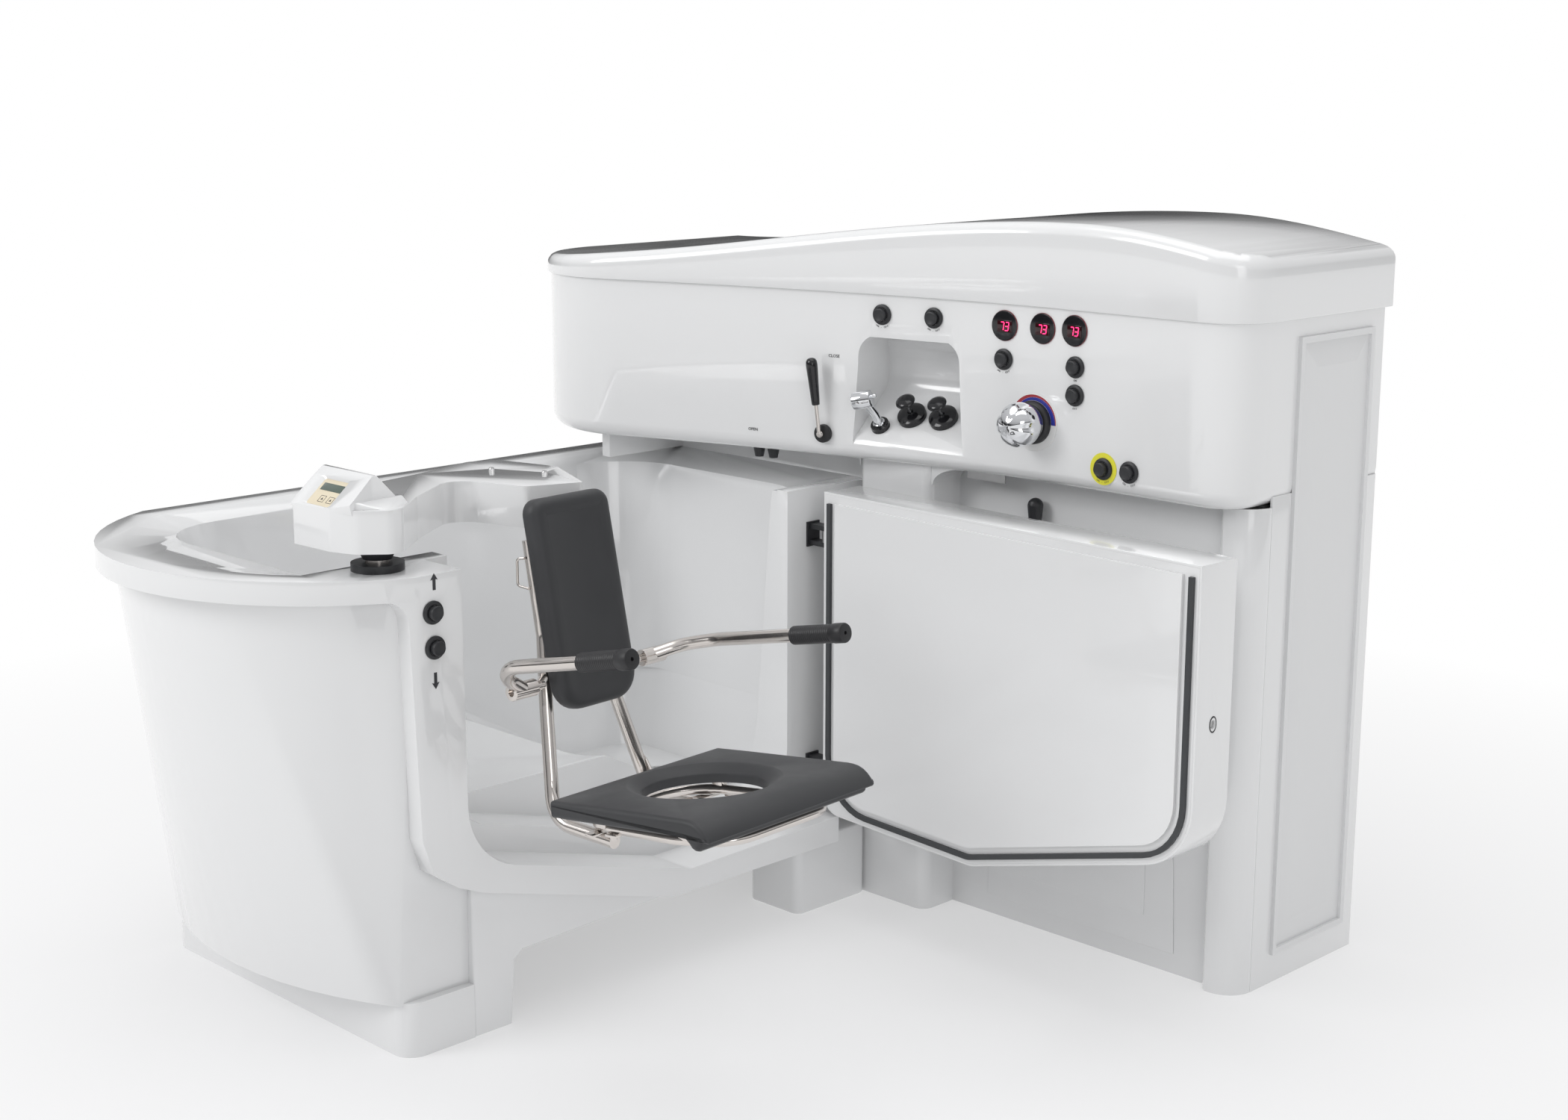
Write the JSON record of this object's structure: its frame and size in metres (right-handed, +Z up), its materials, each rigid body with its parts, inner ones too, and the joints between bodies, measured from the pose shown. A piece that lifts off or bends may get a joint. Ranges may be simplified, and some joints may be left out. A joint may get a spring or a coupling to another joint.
{
  "type": "walk-in bathtub",
  "caption": "White care-home walk-in bathtub with a side door, a control console and a lift post that carries a transfer chair with grey pads.",
  "frame": {"origin": "centre of the bounding box in plan, on the floor", "axes": "+Z up; +Y toward the back of the console, against the wall; +X to the right of a user who faces the console"},
  "size_m": [1.8766, 1.985, 1.462],
  "materials": {
    "shell_white": "glossy gelcoat on glass-fibre polyester",
    "niche_grey": "satin",
    "panel_white": "satin powder coat",
    "panel_back": "satin powder coat",
    "steel": "brushed",
    "chrome": "polished",
    "plastic_black": "fine-grained, satin",
    "dial_white": "smooth",
    "tank": "blow-moulded",
    "pad_grey": "integral-skin polyurethane foam, matt",
    "grip_black": "moulded, matt",
    "gasket": "matt",
    "panel_cream": "printed film, matt"
  },
  "bodies": {
    "fixed": {"console_casing": "shell_white", "console_cap": "shell_white", "niche_insert": "niche_grey", "corner_post": "shell_white", "side_panel": "panel_white", "recess_wall": "panel_white", "access_panel": "panel_white", "rear_panels": "panel_back", "inner_frame": "steel", "reservoir_tank": "tank", "tub_basin": "shell_white", "tub_apron": "shell_white", "side_plinth": "shell_white", "floor_drain": "steel", "filler_nozzles": "plastic_black", "hinge_pins": "steel", "lift_sleeve": "steel", "lift_disc": "plastic_black", "button_bezels": "plastic_black", "displays": "plastic_black", "mixer_ring": "dial_white", "niche_sockets": "plastic_black"},
    "door": {"door_outer": "shell_white", "door_inner": "shell_white", "door_gasket": "gasket", "hinge_strap": "steel"},
    "latch": {"latch_bolt": "steel"},
    "lift": {"lift_ram": "chrome"},
    "chair": {"ram_cone": "plastic_black", "arm_casing": "shell_white", "scale_head": "shell_white", "scale_panel": "panel_cream", "arm_beam": "steel", "casing_screws": "steel", "chair_hanger": "steel", "back_frame": "chrome", "seat_loop": "chrome", "chair_fittings": "chrome", "back_pad": "pad_grey", "seat_pad": "pad_grey"},
    "arm_near": {"armrest_near": "chrome", "grip_near": "grip_black"},
    "arm_far": {"armrest_far": "chrome", "grip_far": "grip_black"},
    "lever": {"lever_arm": "chrome", "lever_grip": "grip_black"},
    "mixer": {"mixer_knob": "chrome"},
    "drain_handle": {"drain_lever": "plastic_black"},
    "spray": {"hand_spray": "chrome"},
    "oil": {"oil_pump": "plastic_black"},
    "shampoo": {"shampoo_pump": "plastic_black"},
    "hand_spray_key": {"hand_spray_button": "plastic_black"},
    "air_key": {"air_button": "plastic_black"},
    "tub_fill_key": {"tub_fill_button": "plastic_black"},
    "reservoir_fill_key": {"reservoir_fill_button": "plastic_black"},
    "reservoir_auto_key": {"reservoir_auto_button": "plastic_black"},
    "disinfect_key": {"disinfect_button": "plastic_black"},
    "rinse_key": {"rinse_button": "plastic_black"},
    "lift_up_key": {"lift_up_button": "plastic_black"},
    "lift_down_key": {"lift_down_button": "plastic_black"}
  },
  "joints": [
    {"name": "door_hinge", "type": "hinge", "parent": "fixed", "child": "door", "pos_m": [-0.04429, 0.3905, 0.56], "axis": [0, 0, 1], "range_deg": [-87.8, 0]},
    {"name": "latch_slide", "type": "slide", "parent": "door", "child": "latch", "axis": [0.9993, -0.0384, 0], "range_m": [0, 0.014]},
    {"name": "lift_slide", "type": "slide", "parent": "fixed", "child": "lift", "axis": [0, 0, 1], "range_m": [0, 0.22]},
    {"name": "chair_swing", "type": "hinge", "parent": "lift", "child": "chair", "pos_m": [-0.08529, -0.6995, 0.95], "axis": [0, 0, 1], "range_deg": [0, 94]},
    {"name": "arm_near_fold", "type": "hinge", "parent": "chair", "child": "arm_near", "pos_m": [0.12831, -0.54505, 0.69], "axis": [0.0628, -0.998, 0], "range_deg": [0, 90]},
    {"name": "arm_far_fold", "type": "hinge", "parent": "chair", "child": "arm_far", "pos_m": [0.1096, -0.24764, 0.69], "axis": [0.0628, -0.998, 0], "range_deg": [0, 90]},
    {"name": "lever_turn", "type": "hinge", "parent": "fixed", "child": "lever", "pos_m": [-0.09429, 0.42664, 1.006], "axis": [0.2265, -0.974, 0], "range_deg": [0, 82]},
    {"name": "mixer_turn", "type": "hinge", "parent": "fixed", "child": "mixer", "pos_m": [0.40011, 0.4918, 1.076], "axis": [0.0402, -0.9992, 0], "range_deg": [-135, 135]},
    {"name": "drain_turn", "type": "hinge", "parent": "fixed", "child": "drain_handle", "pos_m": [0.35271, 0.5945, 0.756], "axis": [0, -1, 0], "range_deg": [0, 90]},
    {"name": "spray_lift", "type": "slide", "parent": "fixed", "child": "spray", "axis": [0.1124, -0.6329, 0.766], "range_m": [0, 0.06]},
    {"name": "oil_press", "type": "slide", "parent": "fixed", "child": "oil", "axis": [-0.1124, 0.6329, -0.766], "range_m": [0, 0.015], "stiffness_N_per_m": 260},
    {"name": "shampoo_press", "type": "slide", "parent": "fixed", "child": "shampoo", "axis": [-0.1124, 0.6329, -0.766], "range_m": [0, 0.015], "stiffness_N_per_m": 260},
    {"name": "hand_spray_press", "type": "slide", "parent": "fixed", "child": "hand_spray_key", "axis": [-0.191, 0.9816, 0], "range_m": [0, 0.004], "stiffness_N_per_m": 700},
    {"name": "air_press", "type": "slide", "parent": "fixed", "child": "air_key", "axis": [-0.154, 0.9881, 0], "range_m": [0, 0.004], "stiffness_N_per_m": 700},
    {"name": "tub_fill_press", "type": "slide", "parent": "fixed", "child": "tub_fill_key", "axis": [-0.0875, 0.9962, 0], "range_m": [0, 0.004], "stiffness_N_per_m": 700},
    {"name": "reservoir_fill_press", "type": "slide", "parent": "fixed", "child": "reservoir_fill_key", "axis": [0, 1, 0], "range_m": [0, 0.004], "stiffness_N_per_m": 700},
    {"name": "reservoir_auto_press", "type": "slide", "parent": "fixed", "child": "reservoir_auto_key", "axis": [0, 1, 0], "range_m": [0, 0.004], "stiffness_N_per_m": 700},
    {"name": "disinfect_press", "type": "slide", "parent": "fixed", "child": "disinfect_key", "axis": [0, 1, 0], "range_m": [0, 0.004], "stiffness_N_per_m": 700},
    {"name": "rinse_press", "type": "slide", "parent": "fixed", "child": "rinse_key", "axis": [0, 1, 0], "range_m": [0, 0.004], "stiffness_N_per_m": 700},
    {"name": "lift_up_press", "type": "slide", "parent": "fixed", "child": "lift_up_key", "axis": [-1, 0, 0], "range_m": [0, 0.004], "stiffness_N_per_m": 700},
    {"name": "lift_down_press", "type": "slide", "parent": "fixed", "child": "lift_down_key", "axis": [-1, 0, 0], "range_m": [0, 0.004], "stiffness_N_per_m": 700}
  ],
  "couplings": [
    {"joint": "door_hinge", "follows": "chair_swing", "ratio": -0.934}
  ]
}
